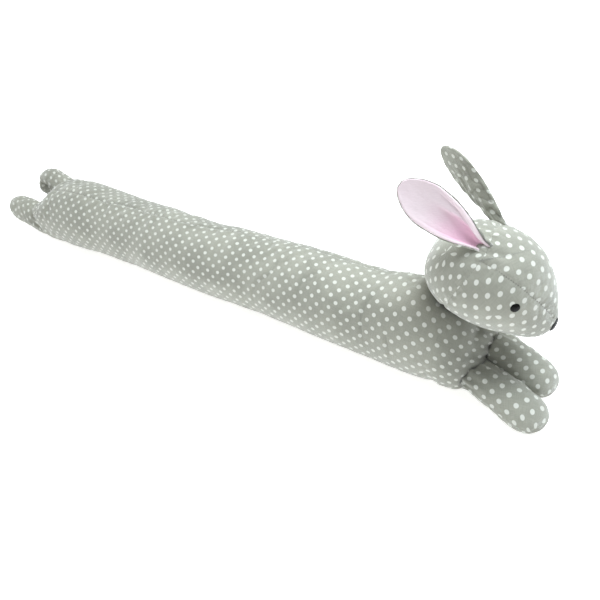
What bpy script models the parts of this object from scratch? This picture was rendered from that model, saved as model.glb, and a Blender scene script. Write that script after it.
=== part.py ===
"""Rabbit draught excluder: a long filled tube of dotted cotton with a stuffed head, two lined
ears, two front paws, two hind feet, two button eyes and a nose.

Metres. +X runs from the hind feet to the nose, +Y to the rabbit's left, +Z up.
The origin is on the floor, on the flat underside of the tube, halfway along the toy.
Tables are in millimetres, one row for each section, and MM turns them into metres."""

import math

import bmesh
import bpy
from mathutils import Euler, Matrix, Vector
from mathutils.geometry import intersect_point_line

MM = 0.001

# Driving dimensions
SEAT_GAP = 0.3 * MM  # clearance between two pieces that press on each other
FLOOR_SINK = 2.2 * MM  # how far the filling lets the underside flatten
BODY_STEP = 11 * MM  # spacing of the tube's rings along X
BODY_SIDES = 44
HEAD_RINGS = 26
HEAD_SIDES = 36
LIMB_RINGS = 20
LIMB_SIDES = 24
EAR_LAYER = 1.3 * MM  # one layer of the ear, cotton with its interlining
EAR_ROWS = 18
EAR_COLUMNS = 10
BUTTON_SIDES = 24

COLOURS = {
    "dotted_cotton": ((0.50, 0.50, 0.46), 0.85),
    "pink_lining": ((0.86, 0.68, 0.74), 0.70),
    "black_plastic": ((0.015, 0.015, 0.015), 0.18),
    "black_thread": ((0.020, 0.020, 0.020), 0.60),
}

# The tube. tilt turns a section about X: the end seams are flat lines, and the front one
# slopes up towards the rabbit's left.
BODY_SECTIONS = (
    # x, half width, half height, side, centre height, tilt in degrees
    (-373, 42, 3.5, -1, 45, -24),
    (-370, 44, 12, -1, 45, -22),
    (-362, 47, 26, -1, 46, -17),
    (-350, 51, 38, -1, 48, -10),
    (-330, 55, 50, 1.5, 51.5, -3),
    (-284, 56, 53, 5, 53, 0),
    (-227, 54.5, 51, 9, 51, 0),
    (-169, 54, 50.5, 9.5, 50.5, 0),
    (-112, 55, 51.5, 7, 51.5, 0),
    (-54, 54.5, 51, 5.5, 51, 0),
    (3, 55.5, 52, 7, 52, 0),
    (61, 56, 52.5, 9, 52.5, 0),
    (118, 57, 53.5, 8, 53.5, 0),
    (176, 57.5, 54, 4.5, 54, 0),
    (222, 56, 52.5, 4, 52.5, 0),
    (268, 56.5, 53, 0.5, 53, 0),
    (314, 54.5, 50, -2, 50, 0),
    (338, 51, 43, 0, 47, 28),
    (354, 46, 31, 3, 44, 44),
    (364, 41, 17, 5, 42, 51),
    (369, 38, 3.5, 6, 41, 54),
)

# Soft creases across the tube. angle is from the top towards the rabbit's right,
# lean turns a crease from straight round the tube towards the nose.
BODY_CREASES = (
    # x, angle in degrees, half length, lean in degrees, depth, width
    (84, 57, 40, 24, 3.0, 9),
    (106, 24, 14, 40, 2.0, 8),
    (147, 46, 30, 26, 2.6, 9),
    (229, 55, 36, 5, 3.4, 9),
    (265, 82, 16, -10, 2.4, 9),
)

# How far the cloth on top of the tube is drawn up to the back of the head.
NECK_RISE = (
    # x, rise
    (196, 0),
    (225, 4),
    (262, 13),
    (290, 17),
    (330, 10),
    (352, 0),
)

# The head, in its own frame: x from the back of the head to the nose.
HEAD_CENTRE = (350, 0, 150)
HEAD_NOD = 24  # degrees, nose down
HEAD_SECTIONS = (
    # x, half width, top, underside
    (-64, 3, -5, -9),
    (-61, 20, 12, -24),
    (-52, 36, 28, -40),
    (-36, 47, 41, -51),
    (-14, 53, 49, -56),
    (8, 54, 52, -54),
    (28, 50, 49, -49),
    (46, 41, 39.5, -42),
    (62, 29, 26, -36),
    (74, 18, 13, -30),
    (81, 9, 3, -23),
    (84, 2, -8, -13),
)

# Limbs, each in its own frame: x from the seam at the tube to the tip.
PAW_SECTIONS = (
    # x, half width, top, underside
    (-14, 23, 14, -10),
    (0, 26, 18, -12),
    (22, 26.5, 20, -12.5),
    (42, 26.5, 20.5, -14.5),
    (60, 26, 20.5, -16),
    (73, 23, 17, -14),
    (81, 17, 11.5, -10.5),
    (85, 9.5, 6, -5.5),
    (86.5, 2.5, 1.5, -1.5),
)
FOOT_SECTIONS = (
    # x, half width, top, underside
    (-16, 20, 15, -17),
    (0, 22, 18, -20),
    (22, 22, 20, -20),
    (44, 22.5, 21, -21),
    (60, 21, 20, -20),
    (72, 16, 15, -16),
    (79, 9, 8, -9),
    (81, 2, 2, -2),
)
BENT_FOOT_SECTIONS = (
    # x, half width, top, underside
    (-16, 16, 12, -14),
    (0, 19, 15, -18),
    (22, 21, 18, -23),
    (44, 22, 19, -28),
    (57, 21, 16, -30),
    (67, 17, 9, -27),
    (73, 10, 0, -21),
    (75, 2, -9, -12),
)
LIMBS = (
    # name, table, seam point, yaw and pitch in degrees (pitch raises the tip)
    ("paw_right", PAW_SECTIONS, (366, -17, 27), -20, -7),
    ("paw_left", PAW_SECTIONS, (364, 27, 45), -11, -16),
    ("foot_right", FOOT_SECTIONS, (-370, -19, 31), 182, 11),
    ("foot_left", BENT_FOOT_SECTIONS, (-358, 30, 70), 176, 10),
)

# Folds pressed into the limbs, each along a line between two points of the toy.
LIMB_FOLDS = (
    # name, one end, other end, depth, width
    ("foot_left", (-434, 30, 76), (-396, 8, 74), 8, 6.5),
    ("foot_left", (-434, 30, 76), (-436, 56, 80), 5, 6.5),
    ("foot_right", (-424, -2, 62), (-420, -34, 52), 3, 6),
)

# The ear: a leaf of cloth, rolled at its root and opening out towards its tip.
EAR_LEAF = (
    # distance along the ear, half width of the flat cloth, half angle of the roll in degrees
    (-18, 9.5, 125),
    (0, 10.5, 110),
    (12, 13.5, 86),
    (30, 18, 54),
    (50, 21, 35),
    (67, 21.5, 25),
    (82, 18.5, 18),
    (93, 13, 12),
    (99, 8, 6),
    (102, 3, 2),
)
EAR_ROOT = (340, 26, 193.5)
EAR_TIP = (265, 57, 250)
EAR_FACING = (0.542, 0.793, 0.278)  # the way the lining looks
EAR_TURN_IN = 1.6  # how far the outer layer shows beyond the lining all round

# Buttons: a row of rings from the edge of the flat back to the crown.
DOME = (
    # share of the radius, share of the height
    (0.90, -0.9),
    (1.00, 0.0),
    (0.95, 0.35),
    (0.80, 0.66),
    (0.55, 0.88),
    (0.28, 0.97),
)
BUTTONS = (
    # name, point near the head's surface, half width, half height, height of the crown, slot
    ("eye_right", (384, -37, 147), 5.5, 5.5, 3.2, "black_plastic"),
    ("eye_left", (384, 37, 147), 5.5, 5.5, 3.2, "black_plastic"),
    ("nose", (430, 0, 112), 8.0, 8.5, 2.6, "black_thread"),
)


def interpolate(rows, x):
    """A row of a table at x, on a smooth curve through its rows that doesn't overshoot them."""
    places = [row[0] for row in rows]
    x = min(max(x, places[0]), places[-1])
    i = max(k for k in range(len(rows) - 1) if places[k] <= x)
    span = places[i + 1] - places[i]
    t = (x - places[i]) / span
    found = [x]
    for column in list(zip(*rows))[1:]:
        start, end = slope(places, column, i), slope(places, column, i + 1)
        rise = (1 + 2 * t) * (1 - t) ** 2 * column[i] + t * t * (3 - 2 * t) * column[i + 1]
        found.append(rise + span * (t * (1 - t) ** 2 * start - t * t * (1 - t) * end))
    return found


def slope(places, values, k):
    """The curve's slope at row k: zero at a peak, and one sided at either end."""
    before = after = None
    if k > 0:
        before = (values[k] - values[k - 1]) / (places[k] - places[k - 1])
    if k < len(places) - 1:
        after = (values[k + 1] - values[k]) / (places[k + 1] - places[k])
    if before is None or after is None:
        return after if before is None else before
    if before * after <= 0:
        return 0.0
    return 2 * before * after / (before + after)


def spread(low, high, count):
    return [low + (high - low) * i / (count - 1) for i in range(count)]


def eased(low, high, count):
    """Like spread, but closer together towards both ends, where a stuffed form turns in."""
    return [low + (high - low) * (1 - math.cos(math.pi * t)) / 2 for t in spread(0, 1, count)]


def material(slot):
    found = bpy.data.materials.get(slot)
    if found:
        return found
    colour, roughness = COLOURS[slot]
    made = bpy.data.materials.new(slot)
    made.use_nodes = True
    shader = made.node_tree.nodes["Principled BSDF"]
    shader.inputs["Base Color"].default_value = (*colour, 1)
    shader.inputs["Roughness"].default_value = roughness
    return made


def new_object(name, mesh, collection, slot=None):
    made = bpy.data.objects.new(name, mesh)
    collection.objects.link(made)
    if slot:
        mesh.materials.append(material(slot))
    return made


def loft(name, rings, collection, slot=None):
    """A closed form through rings of the same number of points, with a flat cap at both ends.

    It is made of triangles, so that a cutter grown from it keeps to the same facets."""
    bm = bmesh.new()
    loops = [[bm.verts.new(point) for point in ring] for ring in rings]
    for near, far in zip(loops, loops[1:]):
        for k, corner in enumerate(near):
            last = k - 1
            bm.faces.new((near[last], corner, far[k], far[last]))
    bm.faces.new(loops[0][::-1])
    bm.faces.new(loops[-1])
    bmesh.ops.triangulate(bm, faces=bm.faces)
    bmesh.ops.recalc_face_normals(bm, faces=bm.faces)
    mesh = bpy.data.meshes.new(name)
    bm.to_mesh(mesh)
    bm.free()
    mesh.shade_smooth()
    return new_object(name, mesh, collection, slot)


def settle(point):
    """Presses a point flat on to the floor where the filled cloth rests on it."""
    point.z = max(point.z - FLOOR_SINK, 0)
    return point


def crease_depth(x, arc, radius):
    """How far the creases pull the cloth in at x, at an arc length round the tube from its top."""
    depth = 0.0
    for at_x, angle, half_length, lean, deep, wide in BODY_CREASES:
        along_x = x - at_x
        around = arc - math.radians(angle) * radius
        turn = math.radians(lean)
        along = around * math.cos(turn) - along_x * math.sin(turn)
        across = around * math.sin(turn) + along_x * math.cos(turn)
        if abs(along) < half_length:
            fade = (1 - (along / half_length) ** 2) ** 2
            depth += deep * fade * math.exp(-((across / wide) ** 2))
    return depth


def body_ring(x):
    """One ring of the tube, its points counted from the top towards the rabbit's right."""
    _, half_width, half_height, side, height, tilt = interpolate(BODY_SECTIONS, x)
    radius = (half_width + half_height) / 2
    tilt = math.radians(tilt)
    turn = Matrix.Rotation(tilt, 3, "X")
    rise = interpolate(NECK_RISE, x)[1]
    points = []
    for k in range(BODY_SIDES):
        angle = 2 * math.pi * k / BODY_SIDES
        signed = angle if angle <= math.pi else angle - 2 * math.pi
        share = 1 - crease_depth(x, signed * radius, radius) / radius
        own = angle - tilt
        offset = turn @ Vector((0, -half_width * math.sin(own), half_height * math.cos(own)))
        lift = Vector((0, 0, rise * max(math.cos(angle), 0) ** 3))
        points.append(settle((Vector((x, side, height)) + offset * share + lift) * MM))
    return points


def make_body(collection):
    low, high = BODY_SECTIONS[0][0], BODY_SECTIONS[-1][0]
    ends = 9
    close = [row[0] for row in BODY_SECTIONS]
    middle = spread(close[4], close[-5], round((close[-5] - close[4]) * MM / BODY_STEP))
    places = spread(low, close[4], ends)[:-1] + middle + spread(close[-5], high, ends)[1:]
    return loft("body", [body_ring(x) for x in places], collection, "dotted_cotton")


def oval_ring(row, sides):
    """A ring across the X axis, given its half width, its top and its underside."""
    x, half_width, top, underside = row
    middle, half_height = (top + underside) / 2, (top - underside) / 2
    points = []
    for k in range(sides):
        angle = 2 * math.pi * k / sides
        points.append(Vector((x, -half_width * math.sin(angle), middle + half_height * math.cos(angle))))
    return points


def stuffed_rings(table, ring_count, sides, placing):
    """Rings of a stuffed form from its table, placed by a matrix in millimetres."""
    places = eased(table[0][0], table[-1][0], ring_count)
    rings = [oval_ring(interpolate(table, x), sides) for x in places]
    return [[(placing @ point) * MM for point in ring] for ring in rings]


def placed(point, yaw, pitch):
    turn = Euler((0, math.radians(-pitch), math.radians(yaw)), "XYZ").to_matrix().to_4x4()
    return Matrix.Translation(point) @ turn


def make_head(collection):
    rings = stuffed_rings(HEAD_SECTIONS, HEAD_RINGS, HEAD_SIDES, placed(HEAD_CENTRE, 0, -HEAD_NOD))
    return loft("head", rings, collection, "dotted_cotton")


def folded(point, centre, name):
    """A point of a limb, drawn in towards the middle of its ring near each fold of that limb."""
    drawn = 0.0
    for limb, start, end, depth, width in LIMB_FOLDS:
        if limb == name:
            nearest, share = intersect_point_line(point / MM, Vector(start), Vector(end))
            nearest = Vector(start).lerp(Vector(end), min(max(share, 0), 1))
            drawn += depth * math.exp(-(((point / MM - nearest).length / width) ** 2))
    return point + (centre - point).normalized() * drawn * MM


def make_limb(name, table, seam, yaw, pitch, collection):
    rings = stuffed_rings(table, LIMB_RINGS, LIMB_SIDES, placed(seam, yaw, pitch))
    centres = [sum(ring, Vector()) / len(ring) for ring in rings]
    rings = [
        [settle(folded(point, centre, name)) for point in ring]
        for ring, centre in zip(rings, centres)
    ]
    return loft(name, rings, collection, "dotted_cotton")


def ear_surface(side):
    """The ear's own surface, as a function of distance along it and share of its half width.

    It also gives the way into the hollow of the roll, which is the side that the lining is on."""
    mirror = Vector((1, side, 1))
    root, tip, facing = (Vector(p) * mirror for p in (EAR_ROOT, EAR_TIP, EAR_FACING))
    along = (tip - root).normalized()
    across = along.cross(facing).normalized() * side
    facing = across.cross(along).normalized() * side

    def point(distance, share):
        _, half_width, angle = interpolate(EAR_LEAF, distance)
        angle = math.radians(angle)
        radius = half_width / angle
        turn = share * angle
        hollow = facing * math.cos(turn) - across * math.sin(turn)
        return root + along * distance + facing * radius - hollow * radius, hollow

    return point


def make_ear_layer(name, side, near, far, inset, slot, collection):
    """One cloth layer of an ear, between two distances from the ear's own surface."""
    point = ear_surface(side)
    length = spread(EAR_LEAF[0][0], EAR_LEAF[-1][0] - inset, EAR_ROWS)
    bm = bmesh.new()
    skins = []
    for depth in (near, far):
        skin = []
        for distance in length:
            reach = 1 - inset / interpolate(EAR_LEAF, distance)[1]
            found = (point(distance, share) for share in spread(-reach, reach, EAR_COLUMNS))
            skin.append([bm.verts.new((place + hollow * depth) * MM) for place, hollow in found])
        skins.append(skin)
    inner, outer = skins
    for skin in skins:
        for a, b in zip(skin, skin[1:]):
            for k in range(EAR_COLUMNS - 1):
                bm.faces.new((a[k], a[k + 1], b[k + 1], b[k]))
    rims = []
    for skin in skins:
        up = [row[-1] for row in skin]
        down = [row[0] for row in skin[::-1]]
        rims.append(skin[0] + up[1:] + skin[-1][-2::-1] + down[1:-1])
    for k in range(len(rims[0])):
        bm.faces.new((rims[0][k - 1], rims[0][k], rims[1][k], rims[1][k - 1]))
    bmesh.ops.recalc_face_normals(bm, faces=bm.faces)
    mesh = bpy.data.meshes.new(name)
    bm.to_mesh(mesh)
    bm.free()
    mesh.shade_smooth()
    mesh.set_sharp_from_angle(angle=math.radians(50))
    return new_object(name, mesh, collection, slot)


def make_button(name, point, half_width, half_height, crown, slot, head, collection):
    """A domed button standing on the head, at the point of its surface nearest to the one given."""
    _, place, outward, _ = head.closest_point_on_mesh(Vector(point) * MM)
    level = Vector((0, 0, 1)).cross(outward).normalized()
    upright = outward.cross(level)
    rings = []
    for radius, rise in DOME:
        ring = []
        for k in range(BUTTON_SIDES):
            angle = 2 * math.pi * k / BUTTON_SIDES
            spoke = level * half_width * math.cos(angle) + upright * half_height * math.sin(angle)
            ring.append(place + (spoke * radius + outward * crown * rise) * MM)
        rings.append(ring)
    return loft(name, rings, collection, slot)


def swollen(source, collection):
    """A cutter: the piece grown by the seat gap, which leaves that gap round whatever it cuts."""
    bm = bmesh.new()
    bm.from_mesh(source.data)
    bm.normal_update()
    moves = [vert.normal * SEAT_GAP * vert.calc_shell_factor() for vert in bm.verts]
    for vert, move in zip(bm.verts, moves):
        vert.co += move
    mesh = bpy.data.meshes.new(source.name + "_clear")
    bm.to_mesh(mesh)
    bm.free()
    cutter = new_object(mesh.name, mesh, collection)
    cutter.hide_render = True
    cutter.display_type = "WIRE"
    return cutter


def cut(target, cutter):
    seat = target.modifiers.new("seat_on_" + cutter.name, "BOOLEAN")
    seat.operation = "DIFFERENCE"
    seat.solver = "EXACT"
    seat.object = cutter


def main():
    for old in list(bpy.data.objects):
        bpy.data.objects.remove(old)
    parts = bpy.data.collections.new("rabbit_draught_excluder")
    cutters = bpy.data.collections.new("cutters")
    for collection in (parts, cutters):
        bpy.context.scene.collection.children.link(collection)

    body = make_body(parts)
    head = make_head(parts)
    head_clear = swollen(head, cutters)
    cut(body, head_clear)

    body_clear = swollen(body, cutters)
    limbs = {}
    for name, table, seam, yaw, pitch in LIMBS:
        limbs[name] = make_limb(name, table, seam, yaw, pitch, parts)
        cut(limbs[name], body_clear)
    cut(limbs["paw_left"], swollen(limbs["paw_right"], cutters))

    gap = SEAT_GAP / MM / 2
    layer = EAR_LAYER / MM
    for word, side in (("right", -1), ("left", 1)):
        outer = make_ear_layer("ear_" + word, side, -gap - layer, -gap, 0, "dotted_cotton", parts)
        lining = make_ear_layer(
            "ear_lining_" + word, side, gap, gap + layer, EAR_TURN_IN, "pink_lining", parts
        )
        cut(outer, head_clear)
        cut(lining, head_clear)

    for name, point, half_width, half_height, crown, slot in BUTTONS:
        button = make_button(name, point, half_width, half_height, crown, slot, head, parts)
        cut(button, head_clear)


main()
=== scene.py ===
"""Looks of the rabbit draught excluder: dotted cotton over a firm filling, pink ear linings,
glossy button eyes and a satin-stitched nose, on a white studio floor.

Metres in the scene, millimetres in the tables. +X runs from the hind feet to the nose,
+Y to the rabbit's left, +Z up. Each piece takes the place of a solid of the part, which it hides."""

import math

import bmesh
import bpy
import numpy as np
from mathutils import Euler, Matrix, Vector, noise
from mathutils.bvhtree import BVHTree


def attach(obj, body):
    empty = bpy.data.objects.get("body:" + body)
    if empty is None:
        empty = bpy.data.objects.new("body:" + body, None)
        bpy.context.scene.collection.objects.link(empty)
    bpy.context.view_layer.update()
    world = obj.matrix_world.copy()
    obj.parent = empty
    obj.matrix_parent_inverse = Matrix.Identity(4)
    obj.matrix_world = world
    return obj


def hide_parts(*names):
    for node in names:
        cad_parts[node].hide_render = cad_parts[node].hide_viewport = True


MM = 0.001
FLOOR_SINK = 2.2  # how far the underside flattens on the floor
DOT_RADIUS = 0.212  # as a share of the spacing of the dots
TUBE_RADIUS = 52.5  # nominal, for lengths measured round the tube
HEAD_RADIUS = 52.0
LIMB_RADIUS = 21.0

# The tube. tilt turns a section about X: the end seams are flat lines, and the front one
# slopes up towards the rabbit's left.
BODY_SECTIONS = (
    # x, half width, half height, side, centre height, tilt in degrees
    (-373, 42, 3.5, -1, 45, -24),
    (-370, 44, 12, -1, 45, -22),
    (-362, 47, 26, -1, 46, -17),
    (-350, 51, 38, -1, 48, -10),
    (-330, 55, 50, 1.5, 51.5, -3),
    (-284, 56, 53, 5, 53, 0),
    (-227, 54.5, 51, 9, 51, 0),
    (-169, 54, 50.5, 9.5, 50.5, 0),
    (-112, 55, 51.5, 7, 51.5, 0),
    (-54, 54.5, 51, 5.5, 51, 0),
    (3, 55.5, 52, 7, 52, 0),
    (61, 56, 52.5, 9, 52.5, 0),
    (118, 57, 53.5, 8, 53.5, 0),
    (176, 57.5, 54, 4.5, 54, 0),
    (222, 56, 52.5, 4, 52.5, 0),
    (268, 56.5, 53, 0.5, 53, 0),
    (314, 54.5, 50, -2, 50, 0),
    (338, 51, 43, 0, 47, 28),
    (354, 46, 31, 3, 44, 44),
    (364, 41, 17, 5, 42, 51),
    (369, 38, 3.5, 6, 41, 54),
)

TUBE_SHOULDERS = (-330, 322)  # x where the tube starts to draw in towards its end seams
NEAR_HEAD = 180  # x from which the head and paws are near enough for painted shade on the tube

# How far the cloth on top of the tube is drawn up to the back of the head.
NECK_RISE = (
    # x, rise
    (196, 0),
    (225, 4),
    (262, 13),
    (290, 17),
    (330, 10),
    (352, 0),
)

# The seam along the tube's back.
BACK_SEAM = (
    # x, angle in degrees from the top towards the rabbit's right
    (-373, 24),
    (-220, 21),
    (-193, 15),
    (-94, 13),
    (-63, 8),
    (66, -7),
    (198, -13),
    (369, -16),
)

# Where the print lies along the tube's top, counted in rows and columns of dots.
TUBE_PRINT = (
    # x, row, column
    (-373, -9.1, 5.6),
    (-340, -6.08, 2.80),
    (-220, 1.96, -5.40),
    (-100, 9.92, -12.29),
    (20, 17.50, -19.05),
    (140, 25.60, -25.74),
    (260, 33.19, -32.55),
    (340, 38.19, -37.03),
    (369, 40.6, -39.2),
)
ROUND_TUBE = (0.0592, 0.0730)  # rows and columns for each millimetre round the tube
SEAM_STEP = -0.52  # how the columns miss each other at the back seam

# Folds in the tube's cloth, each through points of x and angle in degrees.
TUBE_FOLDS = (
    # depth, points
    (3.2, ((98, 22), (95, 39), (90, 53), (78, 65), (73, 78), (71, 93))),
    (1.8, ((114, 13), (107, 27), (99, 32))),
    (2.6, ((160, 22), (150, 31), (141, 40), (138, 55), (137, 71))),
    (4.0, ((236, 24), (232, 35), (228, 47), (227, 60), (228, 71), (231, 85))),
    (2.4, ((262, 72), (266, 84), (268, 96))),
    (1.6, ((-4, 12), (-1, 23), (0, 41), (2, 58))),
    (1.2, ((199, 42), (201, 60), (200, 74))),
    (1.6, ((-122, 20), (-118, 42), (-120, 66))),
    (1.4, ((-236, 28), (-240, 50), (-237, 72))),
    (2.0, ((40, -18), (32, -42), (36, -70))),
    (2.4, ((-84, -24), (-95, -48), (-92, -78))),
    (2.2, ((182, -20), (170, -44), (174, -80))),
    (1.8, ((-205, -16), (-196, -40), (-199, -66))),
    (1.8, ((110, 150), (118, 180), (113, 212))),
)

# The head, in its own frame: x from the back of the head to the nose.
HEAD_CENTRE = (350, 0, 150)
HEAD_NOD = 24  # degrees, nose down
HEAD_SECTIONS = (
    # x, half width, top, underside
    (-64, 3, -5, -9),
    (-61, 20, 12, -24),
    (-52, 36, 28, -40),
    (-36, 47, 41, -51),
    (-14, 53, 49, -56),
    (8, 54, 52, -54),
    (28, 50, 49, -49),
    (46, 41, 39.5, -42),
    (62, 29, 26, -36),
    (74, 18, 13, -30),
    (81, 9, 3, -23),
    (84, 2, -8, -13),
)

# The seams between the head's panels.
GUSSET_SEAM = (
    # x, angle in degrees from the top
    (-64, 50),
    (40, 50),
    (62, 44),
    (77, 34),
    (84, 30),
)
GUSSET_ANGLE = 50  # where the gusset's seam lies in the head's grid, in degrees
NAPE_SEAM = -17  # x of the seam behind the cheeks
NAPE_SEAM_BOW = -8  # how far it bows back between the ears

# Folds in each cheek below the ear, each through points of x and angle in degrees.
HEAD_FOLDS = (
    # height, points
    (0.9, ((-18.5, 32), (-12.1, 28), (-4.5, 23))),
    (-1.7, ((-16, 40), (-8, 34.5), (2, 31.5))),
    (1.0, ((-17, 48), (-9.1, 43), (1, 38))),
)

# How the print lies on each panel of the head: rows and columns of dots on the cloth
# unrolled about a centre.
HEAD_PRINTS = {
    # panel: centre, facing, roll radius, turn, pitch, offset of rows; and of columns
    "cheek": ((25, -48, -4), (0.17, -0.98, 0), 52, (33.8, 11.4, 1.476), (-48.3, 13.4, 3.735)),
    "gusset": ((30, 0, 48), (0.35, 0, 0.94), 52, (30.6, 12.4, 4.136), (-62, 13.7, 1.015)),
    "nape": ((-42, -30, 10), (-0.7, -0.65, 0.3), 52, (19.6, 9.2, 1.681), (-50.5, 10.6, -0.332)),
}

# Limbs, each in its own frame: x from the seam at the tube to the tip.
PAW_SECTIONS = (
    # x, half width, top, underside
    (-14, 23, 14, -10),
    (0, 26, 18, -12),
    (22, 26.5, 20, -12.5),
    (42, 26.5, 20.5, -14.5),
    (60, 26, 20.5, -16),
    (73, 23, 17, -14),
    (81, 17, 11.5, -10.5),
    (85, 9.5, 6, -5.5),
    (86.5, 2.5, 1.5, -1.5),
)
FOOT_SECTIONS = (
    # x, half width, top, underside
    (-16, 20, 15, -17),
    (0, 22, 18, -20),
    (22, 22, 20, -20),
    (44, 22.5, 21, -21),
    (60, 21, 20, -20),
    (72, 16, 15, -16),
    (79, 9, 8, -9),
    (81, 2, 2, -2),
)
BENT_FOOT_SECTIONS = (
    # x, half width, top, underside
    (-16, 16, 12, -14),
    (0, 19, 15, -18),
    (22, 21, 18, -23),
    (44, 22, 19, -28),
    (57, 21, 16, -30),
    (67, 17, 9, -27),
    (73, 10, 0, -21),
    (75, 2, -9, -12),
)
LIMBS = (
    # name, table, seam point, yaw, pitch in degrees; turn, pitch, offset of dot rows; of columns
    ("paw_right", PAW_SECTIONS, (366, -17, 27), -20, -7, (107, 11.5, 0.31), (15.8, 13.1, -0.44)),
    ("paw_left", PAW_SECTIONS, (364, 27, 45), -11, -16, (105.8, 12.3, 0.921), (18.2, 11.3, -1.451)),
    ("foot_right", FOOT_SECTIONS, (-370, -19, 31), 182, 11, (-46, 8.3, 0.445), (-137.5, 12.2, 0.773)),
    ("foot_left", BENT_FOOT_SECTIONS, (-358, 30, 70), 176, 10, (-90.8, 10.2, -0.202), (-20.6, 12.8, -1.828)),
)

# Folds pressed into the limbs, each along a line between two points of the toy.
LIMB_FOLDS = (
    # name, one end, other end, depth, width
    ("foot_left", (-434, 30, 76), (-396, 8, 74), 8, 6.5),
    ("foot_left", (-434, 30, 76), (-436, 56, 80), 5, 6.5),
    ("foot_right", (-424, -2, 62), (-420, -34, 52), 3, 6),
)

# The ear: a leaf of cloth, rolled at its root and opening out towards its tip.
EAR_LEAF = (
    # distance along the ear, half width of the flat cloth, half angle of the roll in degrees
    (-18, 9.5, 125),
    (0, 10.5, 110),
    (12, 13.5, 86),
    (30, 18, 54),
    (50, 21, 35),
    (67, 21.5, 25),
    (82, 18.5, 18),
    (93, 13, 12),
    (99, 8, 6),
    (102, 3, 2),
)
EAR_ROOT = (340, 26, 193.5)
EAR_TIP = (265, 57, 250)
EAR_FACING = (0.542, 0.793, 0.278)  # the way the lining looks
EAR_START = -8.0  # distance along the ear at which its layers begin
EAR_LAYER = 1.3  # thickness of each layer
SEAT_GAP = 0.3  # between the two layers

SIDE_SEAM = 105  # angle of a limb's side seams from its top, in degrees
EAR_PRINT = ((-151.2, 11.0, 2.953), (-40.8, 9.9, 6.231))
LINING_INSET = 0.7  # how far the outer layer shows beyond the lining
EAR_CREST = (
    # distance along the ear, height of the lining's crest above its middle
    (-8, 5.5),
    (4, 6.5),
    (29, 11.0),
    (57, 7.7),
    (75, 4.0),
)

CAMERA_PLACE = (0.447, -0.538, 0.4688)
CAMERA_YAW = 121.524
CAMERA_PITCH = 34.73
CAMERA_LENS = 34.289
LIGHTS = (
    # name, place, target, diameter, power, colour
    ("overhead", (-0.75, 0.35, 2.1), (0, 0, 0), 1.8, 14.0, (1, 0.975, 0.87)),
    ("front", (0.5, 0.15, 1.2), (0.38, 0, 0.15), 0.8, 17.0, (0.88, 0.96, 1)),
)
BRIGHT_SIDE = (-0.50, 0.20, 0.84)  # the way the brightest part of the studio lies
DIM_REACH = -0.6  # cosine of the angle from it at which the studio is dimmest
DIM_LEVEL = 0.10
BRIGHT_LEVEL = 0.74
STUDIO_TINT = (0.95, 0.98, 1, 1)
FLOOR_HALF = 30.0
FLOOR_DROP = 0.0004  # how far the floor lies below the toy, in metres

# How fine the meshes are.
TUBE_ROWS = 350
TUBE_END_ROWS = 26
TUBE_SIDES = 168
HEAD_ROWS = 170
HEAD_SIDES = 180
LIMB_ROWS = 96
LIMB_SIDES = 96
EAR_ROWS = 110
EAR_COLUMNS = 60
BUTTON_SIDES = 64

CLOTH_PRESSURE = 4.0
CLOTH_STEPS = 20

EYE_POINTS = ((384, -37, 147), (384, 37, 147))
NOSE_POINT = (430, 0, 112)

GREY_COTTON = (0.281, 0.284, 0.240)
PALE_COTTON = (0.335, 0.337, 0.286)
DOT_WHITE = (0.63, 0.64, 0.59)
LINING_PALE = (0.735, 0.625, 0.665)
# Deeper pink for painted shade in the sheltered parts of the lining.
LINING_SHADED_PINK = (0.77, 0.48, 0.61)
LINING_RIM = (0.88, 0.745, 0.785)
# Darker pink for painted shade in the groove by the rim.
LINING_CREASE_SHADE = (0.62, 0.40, 0.50)
FOLD_SHADE = (0.075, 0.072, 0.066)
SEAM_SHADE = (0.16, 0.155, 0.145)
STITCH_SHADE = (0.06, 0.055, 0.05)
STITCH_STEP = 2.8


def curve_rows(rows, x):
    """The columns of a table at each x, on smooth curves through its rows that don't overshoot."""
    table = np.array(rows, float)
    places, values = table[:, 0], table[:, 1:]
    gaps = np.diff(places)
    rises = np.diff(values, axis=0) / gaps[:, None]
    slopes = np.zeros_like(values)
    before, after = rises[:-1], rises[1:]
    same_way = before * after > 0
    total = np.where(same_way, before + after, 1)
    slopes[1:-1] = np.where(same_way, 2 * before * after / total, 0)
    slopes[0], slopes[-1] = rises[0], rises[-1]
    x = np.clip(x, places[0], places[-1])
    row = np.clip(np.searchsorted(places, x, side="right") - 1, 0, len(places) - 2)
    span = gaps[row]
    t = (x - places[row]) / span
    near = (1 + 2 * t) * (1 - t) ** 2
    far = t * t * (3 - 2 * t)
    out = t * (1 - t) ** 2 * span
    back = t * t * (1 - t) * span
    return [
        near * values[row, c] + far * values[row + 1, c] + out * slopes[row, c] - back * slopes[row + 1, c]
        for c in range(values.shape[1])
    ]


def eased(low, high, count):
    """Places closer together towards both ends, where a stuffed form turns in."""
    return low + (high - low) * (1 - np.cos(np.pi * np.linspace(0, 1, count))) / 2


def bell(distance, width):
    return np.exp(-((distance / width) ** 2))


def gap_to(points, node, reach):
    """Distance in millimetres from each point to a solid of the part, up to reach."""
    surface = SURFACES[node]
    found = np.full(points.shape[:-1], float(reach)).ravel()
    for index, point in enumerate((points.reshape(-1, 3) * MM).tolist()):
        distance = surface.find_nearest(point, reach * MM)[3]
        if distance is not None:
            found[index] = distance / MM
    return found.reshape(points.shape[:-1])


def lumps(points, size, seed):
    """Smooth noise from -1 to 1 at each point, its features about size millimetres across."""
    place = Vector((seed * 17.3, seed * 5.1, seed * 9.7))
    flat = points.reshape(-1, 3) / size
    found = [noise.noise(Vector(p) + place) for p in flat]
    return np.array(found).reshape(points.shape[:-1])


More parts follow.
